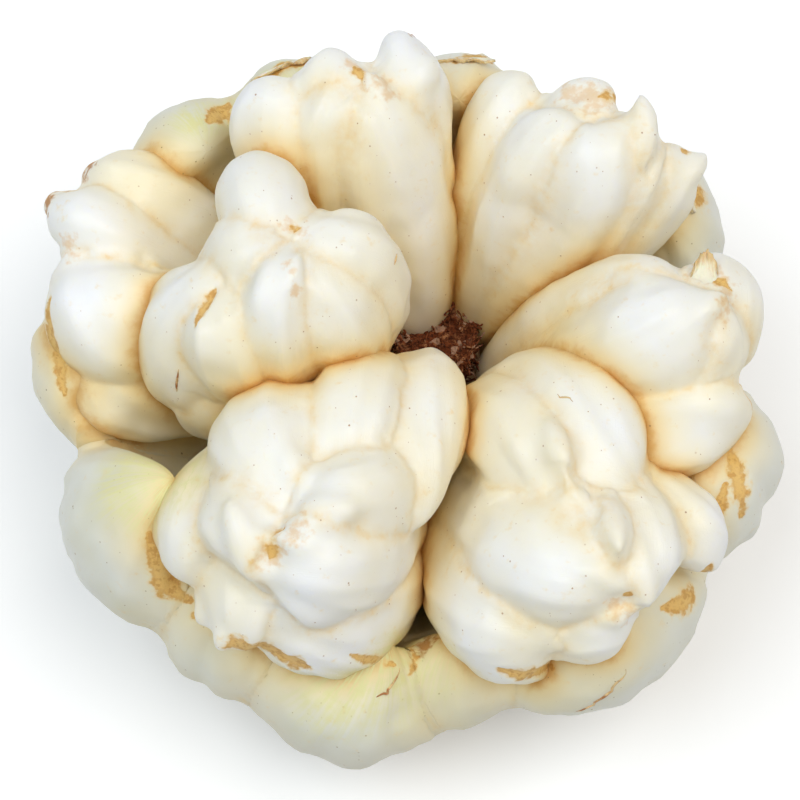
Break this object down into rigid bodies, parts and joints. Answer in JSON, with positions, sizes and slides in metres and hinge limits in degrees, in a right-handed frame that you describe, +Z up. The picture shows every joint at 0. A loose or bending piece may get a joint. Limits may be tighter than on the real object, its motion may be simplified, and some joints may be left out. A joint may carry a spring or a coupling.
{
  "type": "lily bulb",
  "caption": "Peeled, many-nosed lily bulb: plump ivory scales bundled into bulblets that lean out around a corky stem scar, ringed by broad outer scales, standing on a basal plate.",
  "frame": {"origin": "centre of the bounding box in plan, on the resting face of the basal plate", "axes": "+Z up through the bulb's noses, -Y the front that the picture shows at the bottom, +X its right"},
  "size_m": [0.0954, 0.0918, 0.0627],
  "materials": {
    "flesh": "smooth waxy ivory bulb flesh, soft gloss, amber in the creases",
    "greened_flesh": "waxy bulb flesh that light has greened and dulled, with fine brown specks",
    "cork": "rough brown cork of the old stem's scar",
    "root_plate": "dry fibrous tan root plate with trimmed roots"
  },
  "bodies": {
    "root": {"basal_plate": "root_plate", "stem_scar": "cork", "front_left_scale_1": "flesh", "front_left_scale_2": "flesh", "front_left_scale_3": "flesh", "front_left_scale_4": "flesh", "front_left_scale_5": "flesh", "front_left_scale_6": "flesh", "front_left_scale_7": "flesh", "front_left_scale_8": "flesh", "front_left_scale_9": "flesh", "crown_scale_1": "flesh", "crown_scale_2": "flesh", "crown_scale_3": "flesh", "crown_scale_4": "flesh", "crown_scale_5": "flesh", "crown_scale_6": "flesh", "crown_scale_7": "flesh", "crown_scale_8": "flesh", "front_right_scale_1": "flesh", "front_right_scale_2": "flesh", "front_right_scale_3": "flesh", "front_right_scale_4": "flesh", "front_right_scale_5": "flesh", "front_right_scale_6": "flesh", "front_right_scale_7": "flesh", "front_right_scale_8": "flesh", "front_right_scale_9": "flesh", "right_scale_1": "flesh", "right_scale_2": "flesh", "right_scale_3": "flesh", "right_scale_4": "flesh", "right_scale_5": "flesh", "back_right_scale_1": "flesh", "back_right_scale_2": "flesh", "back_right_scale_3": "flesh", "back_right_scale_4": "flesh", "back_right_scale_5": "flesh", "back_right_scale_6": "flesh", "back_right_scale_7": "flesh", "back_scale_1": "flesh", "back_scale_2": "flesh", "back_scale_3": "flesh", "back_scale_4": "flesh", "back_scale_5": "flesh", "left_scale_1": "flesh", "left_scale_2": "flesh", "left_scale_3": "flesh", "left_scale_4": "flesh", "outer_scale_1": "greened_flesh", "outer_scale_2": "greened_flesh", "outer_scale_3": "greened_flesh", "outer_scale_4": "greened_flesh", "outer_scale_5": "greened_flesh", "outer_scale_6": "greened_flesh", "outer_scale_7": "greened_flesh", "outer_scale_8": "greened_flesh", "outer_scale_9": "greened_flesh", "outer_scale_10": "greened_flesh", "outer_scale_11": "greened_flesh"}
  },
  "joints": []
}
